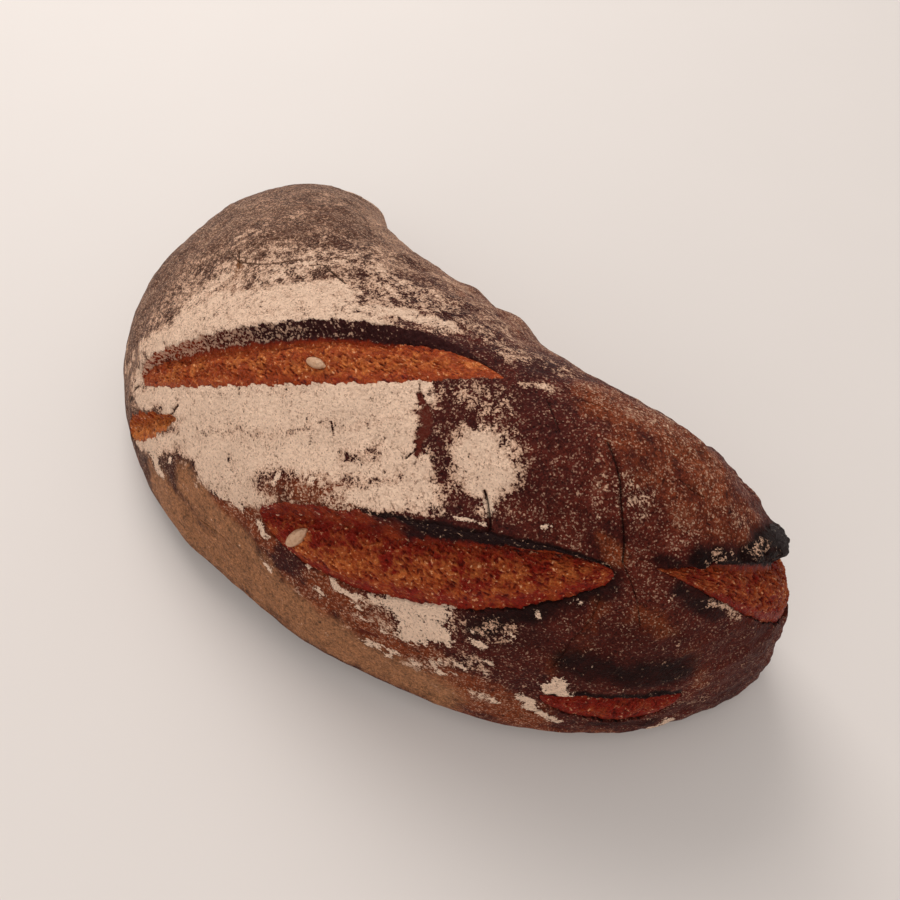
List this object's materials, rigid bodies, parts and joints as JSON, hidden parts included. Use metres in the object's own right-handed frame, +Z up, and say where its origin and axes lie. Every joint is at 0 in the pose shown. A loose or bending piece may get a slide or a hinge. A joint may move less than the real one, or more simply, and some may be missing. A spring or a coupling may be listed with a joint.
{
  "type": "rye bread loaf",
  "caption": "Bean-shaped hearth loaf with a flat base, raised burnt ears along diagonal slashes, bare crumb inside them and seed kernels baked into it.",
  "frame": {"origin": "under the middle of the loaf's box, on the flat base", "axes": "+X along the loaf's length towards its taller end, +Y towards its hollow back, +Z up"},
  "size_m": [0.2476, 0.1348, 0.0952],
  "materials": {
    "crust": "dry, matt, dark red-brown with patches of pale flour",
    "crumb": "rough, open-pored, orange-brown where the slashes opened",
    "char": "burnt edge of the ears, almost black",
    "seed": "toasted beige seed kernel, slightly silky"
  },
  "bodies": {
    "root": {"loaf": "crust"}
  },
  "joints": []
}
